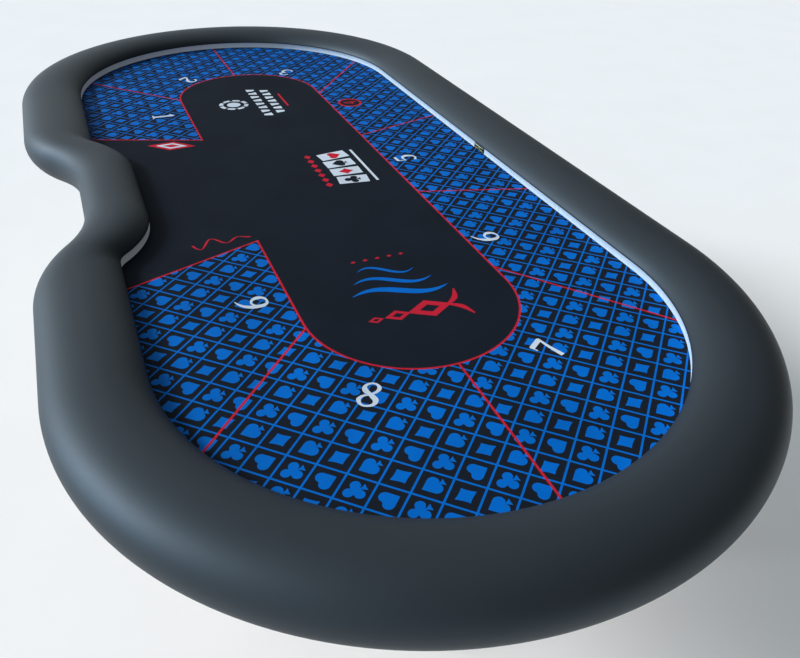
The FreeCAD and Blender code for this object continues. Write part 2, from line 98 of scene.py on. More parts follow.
# Outer edge of the rail cover: how far it is turned in, by which steps, the depth of the pleats at each
# step, and the points of the outline from one pleat to the next
TURN_IN = 62 * MM
TURN_IN_STEPS = (0.0, 3 * MM, 7 * MM)
PLEAT_DEPTHS = (1.0 * MM, 0.8 * MM, 0.25 * MM)
PLEAT_POINTS = 3

# Cloth, with the grid of points that divides its flat middle
CLOTH_CORNER = 4 * MM
CLOTH_HEM = 1.5 * MM
CLOTH_WRAP = 25 * MM
CLOTH_THICK = 1 * MM
CLOTH_GRID = 40 * MM
CLOTH_GRID_REACH = (1.04, 0.40)
CLOTH_GRID_MARGIN = 8 * MM

# Points nearer than this are one point when a flat shape is cut into triangles
MERGE_DISTANCE = 1e-7

# Ink: its height over the cloth, how far it runs under the light band, and the steps between two points
# of a curved stroke
INK_LIFT = 0.12 * MM
INK_UNDER_BAND = 1 * MM
STROKE_STEPS = 6

# Print, in cells of its diagonal lattice from the middle of the print; a line is given by half its width
CELL = 43.6 * MM
PRINT_Y = 0.12
LATTICE_ORIGIN = (1.01, -0.37)
LATTICE_REACH = 24
LATTICE_LINE = 0.036
RED_LINE = 0.043
DIGIT_HEIGHT = 1.24

# Black middle of the print, in cells. The middle of a suit is at most the margin inside it. The dealer's
# opening widens from DEALER_HALF each way to DEALER_OUT, at the cloth's edge, and runs on under the band
SUIT_MARGIN = 0.6
GROUND_HALF_WIDTH = 4.37
GROUND_STRAIGHT = 13.14
GROUND_OVERLAP = 0.5
DEALER_HALF = 6.28
DEALER_OUT = (8.33, -10.2)
DEALER_RUN_ON = (0.4, -1.0)
RED_LINE_JOIN = (0.02, 0.05)

# Camera, with its turn in degrees
CAMERA_PLACE = (1.5453, -0.4334, 1.4425)
CAMERA_TURN = (54.42, -2.28, 64.89)
CAMERA_LENS = 33.16
CAMERA_SHIFT = -0.0437

# Studio: the side where the world is brightest, and suns as (direction, spread in degrees, power, colour)
WINDOW_SIDE = (-0.70, -0.70, 0.12)
WORLD_COLOUR = (0.88, 0.96, 1.0, 1)
WORLD_STRENGTH = {"From Min": -0.30, "From Max": 1.0, "To Min": 0.08, "To Max": 0.92}
SUNS = {
    "window": ((-0.40, -0.72, 0.50), 18.0, 3.3, (0.90, 0.95, 1.02)),
    "low_window": ((-0.36, -0.90, 0.22), 22.0, 0.9, (0.50, 0.84, 1.20)),
    "room": ((0.70, -0.65, 0.30), 60.0, 0.5, (0.78, 0.92, 1.08)),
}
FLOOR_RADIUS = 150.0


# ---------------------------------------------------------------- outlines

def outline(half_width, notch):
    """Points round the table at this half width, counter-clockwise from the +X end of the +Y side."""
    depth, flat, flat_radius, shoulder_radius = notch
    both = flat_radius + shoulder_radius
    turn = math.acos(1 - depth / both)
    mouth = flat + both * math.sin(turn)
    floor_y = -half_width + depth
    points = []

    def line(x_start, x_end, y, count):
        points.extend((x, y) for x in np.linspace(x_start, x_end, count, endpoint=False))

    def arc(x, y, radius, start, sweep, count):
        angles = start + sweep * np.linspace(0, 1, count, endpoint=False)
        points.extend((x + radius * math.cos(a), y + radius * math.sin(a)) for a in angles)

    quarter = math.pi / 2
    shoulder_y, bend_y = -half_width + shoulder_radius, floor_y - flat_radius
    line(STRAIGHT, -STRAIGHT, half_width, SIDE_POINTS)
    arc(-STRAIGHT, 0, half_width, quarter, math.pi, END_POINTS)
    line(-STRAIGHT, -mouth, -half_width, SHORT_SIDE_POINTS)
    arc(-mouth, shoulder_y, shoulder_radius, -quarter, turn, BEND_POINTS)
    arc(-flat, bend_y, flat_radius, quarter + turn, -turn, BEND_POINTS)
    line(-flat, flat, floor_y, NOTCH_FLOOR_POINTS)
    arc(flat, bend_y, flat_radius, quarter, -turn, BEND_POINTS)
    arc(mouth, shoulder_y, shoulder_radius, -quarter - turn, turn, BEND_POINTS)
    line(mouth, STRAIGHT, -half_width, SHORT_SIDE_POINTS)
    arc(STRAIGHT, 0, half_width, -quarter, math.pi, END_POINTS)
    return np.array(points)


def inside_outline(outward):
    """The edge of the cloth, moved outward by a constant distance."""
    return outline(PLAY_HALF_WIDTH + outward, NOTCH_INNER - NOTCH_OFFSET * outward)


def outside_outline(inset):
    """The table's outer edge, moved inward by a constant distance."""
    return outline(HALF_WIDTH - inset, NOTCH_OUTER + NOTCH_OFFSET * inset)


def rail_outline(part):
    """An outline part of the way across the rail: 0 at its inner edge, 1 at its outer edge."""
    return outline(PLAY_HALF_WIDTH + RAIL_WIDTH * part, NOTCH_INNER + (NOTCH_OUTER - NOTCH_INNER) * part)


def at_height(points, z):
    return [Vector((x, y, z)) for x, y in points]


# ---------------------------------------------------------------- mesh pieces

def piece(name, verts, faces, material, smooth=True):
    """A mesh object in the scene, with one material."""
    mesh = bpy.data.meshes.new(name)
    mesh.from_pydata([tuple(v) for v in verts], [], faces)
    mesh.validate()
    mesh.polygons.foreach_set("use_smooth", [smooth] * len(mesh.polygons))
    mesh.materials.append(material)
    made = bpy.data.objects.new(name, mesh)
    bpy.context.scene.collection.objects.link(made)
    return made


def ring_faces(rings, around, closed):
    """Quads between neighbouring rings of points; closed joins the last ring to the first."""
    faces = []
    for ring in range(rings if closed else rings - 1):
        here = ring * around
        there = (ring + 1) % rings * around
        for i in range(around):
            j = (i + 1) % around
            faces.append((here + i, there + i, there + j, here + j))
    return faces


def swept(name, rings, material, closed=False):
    """A smooth skin through rings of points that all have the same count."""
    verts = [point for ring in rings for point in ring]
    return piece(name, verts, ring_faces(len(rings), len(rings[0]), closed), material)


def soften_edges(made, width):
    modifier = made.modifiers.new("soft_edges", "BEVEL")
    modifier.width = width
    modifier.segments = 3
    modifier.limit_method = "ANGLE"
    modifier.harden_normals = True


# ---------------------------------------------------------------- materials

class Finish:
    """A node material built round one Principled shader, in object coordinates."""

    def __init__(self, name, **values):
        self.material = bpy.data.materials.new(name)
        self.material.use_nodes = True
        self.tree = self.material.node_tree
        self.shader = self.tree.nodes["Principled BSDF"]
        self.place = self.add("ShaderNodeTexCoord").outputs["Object"]
        for key, value in values.items():
            self.set(key.replace("_", " ").title().replace("Ior", "IOR"), value)

    def set(self, socket, value):
        """Sets a socket of the shader, or links a node's output to it."""
        self.feed(self.shader.inputs[socket], value)

    def feed(self, socket, value):
        if isinstance(value, bpy.types.NodeSocket):
            self.tree.links.new(value, socket)
        else:
            socket.default_value = value

    def add(self, kind, inputs=None, **settings):
        made = self.tree.nodes.new(kind)
        for key, value in settings.items():
            setattr(made, key, value)
        for key, value in (inputs or {}).items():
            self.feed(made.inputs[key], value)
        return made

    def stretched(self, scale, turn=0.0):
        """Object coordinates scaled along each axis, then turned about Z."""
        inputs = {"Vector": self.place, "Scale": scale, "Rotation": (0, 0, turn)}
        return self.add("ShaderNodeMapping", inputs).outputs["Vector"]

    def noise(self, scale, detail, where=None, distortion=0.0):
        inputs = {"Scale": scale, "Detail": detail, "Distortion": distortion}
        inputs["Vector"] = where or self.place
        return self.add("ShaderNodeTexNoise", inputs).outputs["Fac"]

    def cells(self, scale, feature="F1"):
        inputs = {"Vector": self.place, "Scale": scale}
        return self.add("ShaderNodeTexVoronoi", inputs, feature=feature).outputs["Distance"]

    def ridges(self, pitch, axis, where=None, distortion=0.0):
        """Sine ridges along an axis with this pitch in metres."""
        inputs = {"Vector": where or self.place, "Scale": math.pi / 10 / pitch, "Distortion": distortion}
        made = self.add("ShaderNodeTexWave", inputs, wave_type="BANDS", bands_direction=axis)
        return made.outputs["Fac"]

    def combine(self, operation, a, b):
        return self.add("ShaderNodeMath", {0: a, 1: b}, operation=operation).outputs[0]

    def spread(self, value, low, high, start=0.3, end=0.7):
        """Maps a value between start and end to a number between low and high."""
        inputs = {"Value": value, "From Min": start, "From Max": end, "To Min": low, "To Max": high}
        return self.add("ShaderNodeMapRange", inputs).outputs["Result"]

    def blend(self, value, colours, start=0.3, end=0.7):
        """A colour ramp through evenly spaced colours, as the value goes from start to end."""
        ramp = self.add("ShaderNodeValToRGB", {"Fac": value})
        stops = ramp.color_ramp.elements
        while len(stops) < len(colours):
            stops.new(1.0)
        for i, colour in enumerate(colours):
            stops[i].position = start + (end - start) * i / (len(colours) - 1)
            stops[i].color = (*colour, 1)
        return ramp.outputs["Color"]

    def relief(self, *layers):
        """Stacks bumps, each (height, depth in metres), on the shader's normal."""
        normal = None
        for height, depth in layers:
            inputs = {"Height": height, "Distance": depth, "Strength": 1.0}
            if normal is not None:
                inputs["Normal"] = normal
            normal = self.add("ShaderNodeBump", inputs).outputs["Normal"]
        self.set("Normal", normal)


def shade(colour, factor):
    return tuple(min(1.0, c * factor) for c in colour)


def vinyl_finish():
    """Charcoal upholstery vinyl: fine pebbled grain, satin, a little uneven from handling."""
    made = Finish("charcoal_vinyl", specular_ior_level=0.46, specular_tint=(0.66, 0.86, 1.0, 1.0))
    handled = made.noise(2.6, 4.0)
    made.set("Base Color", made.blend(handled, [(0.0180, 0.0210, 0.0235), (0.0216, 0.0250, 0.0280)]))
    pebbles = made.cells(1050)
    creases = made.cells(620, feature="DISTANCE_TO_EDGE")
    made.set("Roughness", made.combine("ADD", made.spread(handled, 0.47, 0.54),
                                       made.spread(pebbles, -0.03, 0.05, 0.1, 0.6)))
    pull = made.noise(5.5, 2.0)
    valleys = made.spread(creases, 0.0, 1.0, 0.0, 0.12)
    made.relief((pull, 0.9 * MM), (valleys, 0.03 * MM), (pebbles, 0.035 * MM))
    return made.material


def cloth_finish(name, colour, roughness=0.72):
    """Tight waterproof playing cloth: over-and-under weave with a faint diagonal, slightly mottled."""
    made = Finish(name, specular_ior_level=0.04)
    warp = made.ridges(0.62 * MM, "X")
    weft = made.ridges(0.62 * MM, "Y")
    twill = made.ridges(0.9 * MM, "DIAGONAL")
    weave = made.combine("MULTIPLY", warp, weft)
    mottle = made.noise(9.0, 5.0)
    fibres = made.noise(700.0, 2.0, made.stretched((1.0, 0.35, 1.0)))
    tone = made.combine("ADD", made.spread(mottle, -0.08, 0.08),
                        made.spread(weave, 0.40, 0.58, 0.0, 1.0))
    made.set("Base Color", made.blend(tone, [shade(colour, 0.72), colour, shade(colour, 1.22)]))
    made.set("Roughness", made.spread(fibres, roughness - 0.07, roughness + 0.08))
    made.relief((mottle, 0.25 * MM), (twill, 0.03 * MM), (weave, 0.07 * MM), (fibres, 0.02 * MM))
    return made.material


def moulded_finish(name, colour, roughness, texture=0.05 * MM):
    """Moulded plastic or rubber with a fine spark-eroded texture and faint scuffs."""
    made = Finish(name, specular_ior_level=0.45)
    scuffs = made.noise(38.0, 6.0, distortion=0.6)
    speck = made.noise(900.0, 2.0)
    made.set("Base Color", made.blend(scuffs, [shade(colour, 0.8), colour, shade(colour, 1.35)]))
    made.set("Roughness", made.combine("ADD", made.spread(scuffs, roughness - 0.06, roughness + 0.1),
                                       made.spread(speck, -0.03, 0.03)))
    made.relief((speck, texture))
    return made.material


def painted_finish(name, colour):
    """Powder coat on steel: orange peel, with rubbed patches."""
    made = Finish(name, specular_ior_level=0.5, coat_weight=0.15, coat_roughness=0.35)
    rubbed = made.noise(16.0, 6.0, distortion=0.4)
    made.set("Base Color", made.blend(rubbed, [shade(colour, 0.85), colour, shade(colour, 1.5)]))
    made.set("Roughness", made.spread(rubbed, 0.37, 0.52))
    made.relief((made.noise(420.0, 1.0), 0.12 * MM), (made.noise(1500.0, 2.0), 0.03 * MM))
    return made.material


def metal_finish(name, colour, roughness=0.32, brushed=(1.0, 1.0, 1.0)):
    """Bare or plated metal with drawn lines and a dulled film."""
    made = Finish(name, metallic=1.0)
    film = made.noise(60.0, 5.0, distortion=0.5)
    lines = made.noise(900.0, 2.0, made.stretched(brushed))
    made.set("Base Color", made.blend(film, [shade(colour, 0.72), colour, shade(colour, 1.12)]))
    made.set("Roughness", made.combine("ADD", made.spread(film, roughness - 0.08, roughness + 0.14),
                                       made.spread(lines, -0.05, 0.05)))
    made.relief((lines, 0.02 * MM))
    return made.material


def wood_finish(name, pale, dark, figure_pitch, turn=0.0):
    """Sawn softwood or birch face: a long figure in even bands, with streaks and pores."""
    made = Finish(name, specular_ior_level=0.3)
    along = made.stretched((0.06, 1.0, 0.6), turn)
    figure = made.ridges(figure_pitch, "Y", along, 7.0)
    streak = made.noise(85.0, 6.0, made.stretched((0.04, 1.0, 1.0), turn))
    pores = made.noise(1100.0, 2.0, made.stretched((0.05, 1.0, 1.0), turn))
    tone = made.combine("ADD", made.spread(figure, 0.0, 0.45, 0.0, 1.0), made.spread(streak, 0.0, 0.55))
    middle = tuple((a + b) / 2 for a, b in zip(pale, dark))
    made.set("Base Color", made.blend(tone, [dark, middle, pale], 0.15, 0.85))
    made.set("Roughness", made.spread(pores, 0.54, 0.74))
    made.relief((figure, 0.08 * MM), (pores, 0.12 * MM))
    return made.material


def foam_finish(name, colour):
    """Open-cell foam."""
    made = Finish(name, specular_ior_level=0.2)
    bubbles = made.cells(900.0)
    made.set("Base Color", made.blend(bubbles, [shade(colour, 0.55), colour], 0.0, 0.7))
    made.set("Roughness", made.spread(bubbles, 0.8, 0.95))
    made.relief((bubbles, 0.3 * MM))
    return made.material


def diffuser_finish():
    """Milky polycarbonate, its strip switched off; a faint even emission is a painted glow that lightens
    the unlit band.
    """
    # The emission is painted light: the band glows faintly though its strip is off.
    made = Finish("milky_diffuser", specular_ior_level=0.5, subsurface_weight=0.25,
                  subsurface_radius=(0.004, 0.004, 0.004), subsurface_scale=1.0,
                  emission_color=(0.92, 0.96, 1.0, 1.0), emission_strength=0.07)
    haze = made.noise(120.0, 3.0, made.stretched((1.0, 1.0, 0.1)))
    drawn = made.noise(1500.0, 2.0, made.stretched((0.05, 0.05, 1.0)))
    made.set("Base Color", made.blend(haze, [(0.37, 0.46, 0.54), (0.42, 0.52, 0.60)]))
    made.set("Roughness", made.spread(haze, 0.42, 0.52))
    made.relief((drawn, 0.02 * MM))
    return made.material


def strip_finish():
    """White flexible strip with a row of yellow lamps."""
    made = Finish("light_strip_tape", specular_ior_level=0.4)
    lamps = made.ridges(16.6 * MM, "X")
    white, yellow = (0.75, 0.76, 0.74), (0.8, 0.62, 0.12)
    made.set("Base Color", made.blend(lamps, [white, white, yellow], 0.0, 0.95))
    made.set("Roughness", made.spread(lamps, 0.35, 0.5, 0.0, 1.0))
    return made.material


# Colours, and the pitch of each wood's figure
BLACK_CLOTH = (0.0100, 0.0138, 0.0212)
BLUE_INK = (0.0003, 0.142, 0.550)
RED_INK = (0.58, 0.016, 0.036)
WHITE_INK = (0.66, 0.72, 0.78)
BIRCH_PALE = (0.58, 0.43, 0.27)
BIRCH_DARK = (0.44, 0.30, 0.17)
BIRCH_FIGURE = 55 * MM
PINE_PALE = (0.66, 0.46, 0.24)
PINE_DARK = (0.42, 0.24, 0.09)
PINE_FIGURE = 12 * MM

VINYL_MAT = vinyl_finish()
CLOTH_MAT = cloth_finish("black_speed_cloth", BLACK_CLOTH)
INKS = {
    "blue": cloth_finish("blue_print", BLUE_INK, 0.66),
    "red": cloth_finish("red_print", RED_INK, 0.66),
    "white": cloth_finish("white_print", WHITE_INK, 0.70),
}


# ---------------------------------------------------------------- rail

def roll_point(angle):
    """(place across the rail, height) on the roll's surface at an angle from its outer side."""
    a = math.radians(angle)
    power = 2 / ROLL_POWER
    across = math.copysign(abs(math.cos(a)) ** power, math.cos(a))
    rise = math.copysign(abs(math.sin(a)) ** power, math.sin(a))
    lean = max(0.0, (angle - LIP_START) / (ROLL_END - LIP_START))
    across -= 2 * LIP_OVERHANG / RAIL_WIDTH * lean * lean * (3 - 2 * lean)
    return 0.5 + across / 2, ROLL_CENTRE_Z + rise * ROLL_HALF_HEIGHT


def rail_cover():
    """Vinyl pulled over the rail: turned in under the base, round the roll and tucked over the band."""
    low = roll_point(ROLL_START)[1]
    rings = []
    for step in TURN_IN_STEPS:
        rings.append(at_height(outside_outline(TURN_IN - step), low))
    for angle in np.linspace(ROLL_START, ROLL_END, ROLL_STEPS):
        part, z = roll_point(angle)
        rings.append(at_height(rail_outline(part), z))
    lip = roll_point(ROLL_END)[0] * RAIL_WIDTH
    under_z = RISER_TOP_Z + TUCK_GAP
    rings.append(at_height(inside_outline(lip + LIP_FOLD), under_z + LIP_FOLD_RISE))
    rings.append(at_height(inside_outline(lip + TUCK), under_z))
    gather(rings)
    made = swept("rail_upholstery", rings, VINYL_MAT)
    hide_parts("rail_cover")
    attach(made, "top")


def gather(rings):
    """Small pleats of the turned-in vinyl where it goes round the ends."""
    for depth, ring in zip(PLEAT_DEPTHS, rings):
        for i, point in enumerate(ring):
            if abs(point.x) > STRAIGHT:
                point.z -= depth * abs(math.sin(i * math.pi / PLEAT_POINTS))


# ---------------------------------------------------------------- cloth

def cloth_sheet():
    """The cloth: flat over the foam, rounded over the board's edge and turned under it."""
    edge = inside_outline(0.0)
    count = len(edge)
    mesh_points = [Vector(p) for p in edge]
    for x in grid_steps(CLOTH_GRID_REACH[0]):
        for y in grid_steps(CLOTH_GRID_REACH[1]):
            if within_cloth(x, y, -CLOTH_GRID_MARGIN):
                mesh_points.append(Vector((x, y)))
    flat = delaunay_2d_cdt(mesh_points, [], [list(range(count))], 1, MERGE_DISTANCE, True)
    verts = [Vector((p.x, p.y, CLOTH_Z)) for p in flat[0]]
    faces = [tuple(f) for f in flat[2]]
    previous = [next(k for k, own in enumerate(flat[3]) if i in own) for i in range(count)]
    for outward, z in cloth_side():
        here = list(range(len(verts), len(verts) + count))
        verts += at_height(inside_outline(outward), z)
        for i in range(count):
            j = (i + 1) % count
            faces.append((previous[i], here[i], here[j], previous[j]))
        previous = here
    made = piece("speed_cloth_sheet", verts, faces, CLOTH_MAT)
    solid = made.modifiers.new("thickness", "SOLIDIFY")
    solid.thickness = CLOTH_THICK
    solid.offset = -1
    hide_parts("speed_cloth")
    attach(made, "top")
    return made


def grid_steps(reach):
    """Even steps from -reach to reach."""
    return np.arange(-reach, reach + CLOTH_GRID / 4, CLOTH_GRID)


def cloth_side():
    """(outward, height) down the side of the cloth and in under the board."""
    steps = []
    for angle in (22.5, 45.0, 67.5, 90.0):
        a = math.radians(angle)
        steps.append((CLOTH_CORNER * math.sin(a), CLOTH_Z - CLOTH_CORNER * (1 - math.cos(a))))
    steps += [(CLOTH_EDGE, (CLOTH_Z + CLOTH_LOW_Z) / 2), (CLOTH_EDGE, CLOTH_LOW_Z + CLOTH_HEM)]
    for outward in (CLOTH_EDGE - CLOTH_HEM, -CLOTH_WRAP / 2, -CLOTH_WRAP):
        steps.append((outward, CLOTH_LOW_Z))
    return steps


def within_cloth(x, y, outward):
    """True where a point is inside the cloth's edge moved outward, with the notch as a box."""
    half_width = PLAY_HALF_WIDTH + outward
    over = max(0.0, abs(x) - STRAIGHT)
    notch = y < -half_width + NOTCH_INNER[0] and abs(x) < NOTCH_INNER[1] + NOTCH_SIDE
    return over * over + y * y < half_width * half_width and not notch


def outline_area(points):
    x, y = points[:, 0], points[:, 1]
    return abs(float(np.dot(x, np.roll(y, -1)) - np.dot(y, np.roll(x, -1)))) / 2


def declare_cloth(sheet, prints):
    """The flat size the cloth was cut to, from its edge, its drop and its turn-in."""
    beyond = CLOTH_EDGE + (CLOTH_Z - CLOTH_LOW_Z) + CLOTH_WRAP + CLOTH_EDGE
    area = outline_area(inside_outline(beyond))


# ---------------------------------------------------------------- print

class Print:
    """Flat shapes in cells, each with an ink and a rank; a higher rank covers a lower one."""

    def __init__(self):
        self.points = []
        self.loops = []
        self.inks = []

    def add(self, points, ink, rank):
        x, y = np.array(points, float).T
        if np.dot(x, np.roll(y, -1)) < np.dot(y, np.roll(x, -1)):
            points = points[::-1]
        start = len(self.points)
        self.points += [Vector((x * CELL, (y + PRINT_Y) * CELL)) for x, y in points]
        self.loops.append(list(range(start, len(self.points))))
        self.inks.append((rank, ink))

    def layers(self):
        """Cuts the shapes along each other; returns the points, and the triangles of each ink."""
        cut = delaunay_2d_cdt(self.points, [], self.loops, 1, MERGE_DISTANCE, True)
        parts = {}
        for triangle, owners in zip(cut[2], cut[5]):
            if not owners or all(self.inks[o][1] != "edge" for o in owners):
                continue
            ink = max((self.inks[o] for o in owners), key=lambda own: own[0])[1]
            if ink in INKS or ink == "lattice":
                parts.setdefault(ink, []).append(triangle)
        return cut[0], parts


def ribbon(path, closed=False):
    """Quads along a smooth stroke, a Catmull-Rom curve, through (x, y, half width) points."""
    path = [np.array(p, float) for p in path]
    count = len(path)
    samples = []
    for i in range(count if closed else count - 1):
        if closed:
            p0, p1, p2, p3 = (path[(i + k) % count] for k in (-1, 0, 1, 2))
        else:
            p0, p1, p2, p3 = (path[min(max(i + k, 0), count - 1)] for k in (-1, 0, 1, 2))
        for t in np.linspace(0, 1, STROKE_STEPS, endpoint=False):
            samples.append(0.5 * (2 * p1 + (p2 - p0) * t + (2 * p0 - 5 * p1 + 4 * p2 - p3) * t * t
                                  + (3 * p1 - p0 - 3 * p2 + p3) * t ** 3))
    if not closed:
        samples.append(path[-1])
    lefts, rights = [], []
    for i, here in enumerate(samples):
        ahead = samples[(i + 1) % len(samples)] if closed or i + 1 < len(samples) else here
        behind = samples[i - 1] if closed or i else here
        along = (ahead - behind)[:2]
        side = np.array((-along[1], along[0])) / max(1e-9, np.hypot(*along)) * here[2]
        lefts.append(here[:2] + side)
        rights.append(here[:2] - side)
    last = len(samples) if closed else len(samples) - 1
    quads = []
    for i in range(last):
        j = (i + 1) % len(samples)
        quads.append([lefts[i], rights[i], rights[j], lefts[j]])
    return quads


def straight(a, b, half):
    """One quad along a straight stroke."""
    a, b = np.array(a, float), np.array(b, float)
    along = (b - a) / np.hypot(*(b - a))
    side = np.array((-along[1], along[0])) * half
    return [a + side, a - side, b - side, b + side]


def circle(x, y, radius, count=24):
    """Points round a circle."""
    angles = np.radians(360 * np.linspace(0, 1, count, endpoint=False))
    return [(x + radius * math.cos(a), y + radius * math.sin(a)) for a in angles]


def arc_points(x, y, radius, start, end, count):
    """Points on an arc from one angle to another, both ends included."""
    angles = np.radians(np.linspace(start, end, count))
    return [(x + radius * math.cos(a), y + radius * math.sin(a)) for a in angles]


def mirrored(half):
    """A closed outline from its right half, listed from the top down."""
    return half + [(-x, y) for x, y in reversed(half) if abs(x) > 1e-9]


def stem(top, base):
    """Right half of the flared foot of a spade or a club."""
    return [(0.025, top), (0.05, (2 * top + base) / 3), (0.13, base), (0.0, base + 0.012)]


def spade():
    return mirrored([(0.0, 0.36)] + arc_points(0.135, -0.055, 0.195, 45, -128, 12) + stem(-0.2, -0.38))


def club():
    half = arc_points(0.0, 0.225, 0.165, 90, -42, 9) + arc_points(0.185, -0.064, 0.165, 92, -148, 13)
    return mirrored(half + stem(-0.16, -0.345))


def heart():
    return mirrored([(0.0, 0.165)] + arc_points(0.15, 0.03, 0.187, 128, -45, 12) + [(0.0, -0.385)])


def diamond():
    half = [(0.0, 0.36)]
    for t in (0.25, 0.5, 0.75):
        half.append((0.31 * t, 0.36 * (1 - t) - 0.12 * t * (1 - t)))
    half.append((0.31, 0.0))
    for t in (0.25, 0.5, 0.75):
        half.append((0.31 * (1 - t), -0.36 * t + 0.12 * t * (1 - t)))
    return mirrored(half + [(0.0, -0.36)])


SUITS = {(0, 1): spade, (1, 1): diamond, (0, 0): club, (1, 0): heart}


def placed(points, x, y, turn=0.0, size=1.0):
    """Points scaled, turned in degrees and moved."""
    c, s = math.cos(math.radians(turn)) * size, math.sin(math.radians(turn)) * size
    return [(x + c * px - s * py, y + s * px + c * py) for px, py in points]


def lattice_place(u, v):
    """Where a lattice point is, in cells from the middle of the print."""
    du, dv = u - LATTICE_ORIGIN[0], v - LATTICE_ORIGIN[1]
    return (du - dv) / math.sqrt(2), (du + dv) / math.sqrt(2)


def in_ground(x, y, margin):
    """True where a point is inside the black middle of the print by more than the margin."""
    over = max(0.0, abs(x) - GROUND_STRAIGHT)
    dealer = y < 0 and abs(x) < DEALER_HALF - margin
    return math.hypot(over, y) < GROUND_HALF_WIDTH - margin or dealer


def print_lattice(sheet):
    """The diagonal lattice, with a suit in each cell but those well inside the black middle."""
    reach = LATTICE_REACH
    for k in range(-reach, reach + 1):
        for start, end in (((k, -reach), (k, reach)), ((-reach, k), (reach, k))):
            line = straight(lattice_place(*start), lattice_place(*end), LATTICE_LINE)
            sheet.add(line, "lattice", 1)
    for i in range(-reach, reach):
        for j in range(-reach, reach):
            x, y = lattice_place(i + 0.5, j + 0.5)
            if within_cloth(x * CELL, y * CELL, CELL) and not in_ground(x, y, SUIT_MARGIN):
                sheet.add(placed(SUITS[i % 2, j % 2](), x, y, 180), "blue", 2)


# Red lines between the seats, for the +X half; each runs on under the light band
SEAT_LINES = (
    ((17.5, -0.02), (25.2, -0.1)),
    ((12.05, 4.35), (18.65, 9.4)),
    ((4.1, 4.35), (5.9, 10.3)),
    ((13.45, -4.35), (18.8, -9.4)),
)


def print_ground(sheet):
    """The black middle, open to the dealer, and the red lines round it and between the seats."""
    ends = arc_points(GROUND_STRAIGHT, 0, GROUND_HALF_WIDTH, -90, 90, 49)
    ends += arc_points(-GROUND_STRAIGHT, 0, GROUND_HALF_WIDTH, 90, 270, 49)
    sheet.add(ends, None, 3)
    overlap_y = -GROUND_HALF_WIDTH + GROUND_OVERLAP
    far_x, far_y = (out + more for out, more in zip(DEALER_OUT, DEALER_RUN_ON))
    near = [(side * DEALER_HALF, -GROUND_HALF_WIDTH) for side in (1, -1)]
    far = [(side * far_x, far_y) for side in (1, -1)]
    sheet.add([(-DEALER_HALF, overlap_y), (DEALER_HALF, overlap_y), near[0], *far, near[1]], None, 3)
    line = [near[0]] + ends + [near[1]]
    for a, b in zip(line, line[1:]):
        sheet.add(straight(a, b, RED_LINE), "red", 4)
    for side, beyond in zip((1, -1), far):
        start = (side * (DEALER_HALF - RED_LINE_JOIN[0]), -GROUND_HALF_WIDTH + RED_LINE_JOIN[1])
        sheet.add(straight(start, beyond, RED_LINE), "red", 4)
        for a, b in SEAT_LINES:
            sheet.add(straight((side * a[0], a[1]), (side * b[0], b[1]), RED_LINE), "red", 4)


# Strokes of each digit: (x, y, half width) in digit heights from its middle
DIGITS = {
    1: ([(0.02, 0.49, 0.075), (0.02, 0.0, 0.078), (0.02, -0.47, 0.078)],
        [(0.04, 0.47, 0.03), (-0.08, 0.37, 0.04), (-0.20, 0.30, 0.02)],
        [(-0.20, -0.475, 0.028), (0.24, -0.475, 0.028)]),
    2: ([(-0.24, 0.20, 0.055), (-0.17, 0.38, 0.05), (0.01, 0.46, 0.04), (0.20, 0.36, 0.07),
         (0.20, 0.16, 0.085), (0.04, -0.06, 0.065), (-0.14, -0.26, 0.04), (-0.27, -0.42, 0.03)],
        [(-0.28, -0.43, 0.07), (0.26, -0.43, 0.07)],
        [(0.24, -0.46, 0.04), (0.27, -0.26, 0.015)]),
    3: ([(-0.23, 0.28, 0.05), (-0.12, 0.43, 0.045), (0.06, 0.46, 0.04), (0.20, 0.33, 0.075),
         (0.15, 0.12, 0.06), (-0.02, 0.05, 0.028)],
        [(-0.04, 0.05, 0.028), (0.17, -0.02, 0.06), (0.25, -0.20, 0.085), (0.16, -0.41, 0.06),
         (-0.02, -0.47, 0.04), (-0.18, -0.42, 0.045), (-0.25, -0.28, 0.055)]),
    4: ([(0.12, 0.5, 0.07), (0.12, -0.5, 0.07)],
        [(0.10, 0.48, 0.035), (-0.26, -0.18, 0.03)],
        [(-0.30, -0.19, 0.045), (0.28, -0.19, 0.045)]),
    5: ([(-0.15, 0.41, 0.065), (0.24, 0.43, 0.06)],
        [(-0.16, 0.46, 0.035), (-0.20, 0.06, 0.03)],
        [(-0.20, 0.05, 0.028), (0.0, 0.12, 0.04), (0.19, 0.04, 0.075), (0.24, -0.16, 0.085),
         (0.14, -0.39, 0.06), (-0.04, -0.46, 0.04), (-0.24, -0.37, 0.06)]),
    7: ([(-0.26, 0.40, 0.085), (0.26, 0.40, 0.085)],
        [(-0.26, 0.46, 0.03), (-0.27, 0.20, 0.02)],
        [(0.27, 0.45, 0.035), (0.10, 0.02, 0.055), (-0.04, -0.5, 0.075)]),
    9: ([(0.24, 0.24, 0.085), (0.22, -0.02, 0.085), (0.08, -0.27, 0.06), (-0.10, -0.41, 0.035),
         (-0.27, -0.49, 0.012)],),
}
RINGS = {
    8: [(0.00, 0.02, 0.065), (-0.16, 0.14, 0.08), (-0.21, 0.30, 0.055), (-0.10, 0.45, 0.035),
        (0.08, 0.455, 0.036), (0.19, 0.31, 0.06), (0.14, 0.13, 0.042), (0.0, 0.0, 0.03),
        (-0.17, -0.12, 0.045), (-0.22, -0.28, 0.062), (-0.11, -0.44, 0.04), (0.06, -0.465, 0.036),
        (0.22, -0.36, 0.055), (0.23, -0.19, 0.08), (0.11, -0.06, 0.08)],
    9: [(0.24, 0.24, 0.088), (0.17, 0.42, 0.055), (0.0, 0.47, 0.036), (-0.18, 0.40, 0.055),
        (-0.25, 0.22, 0.085), (-0.18, 0.05, 0.055), (-0.01, -0.02, 0.034), (0.17, 0.07, 0.055)],
}

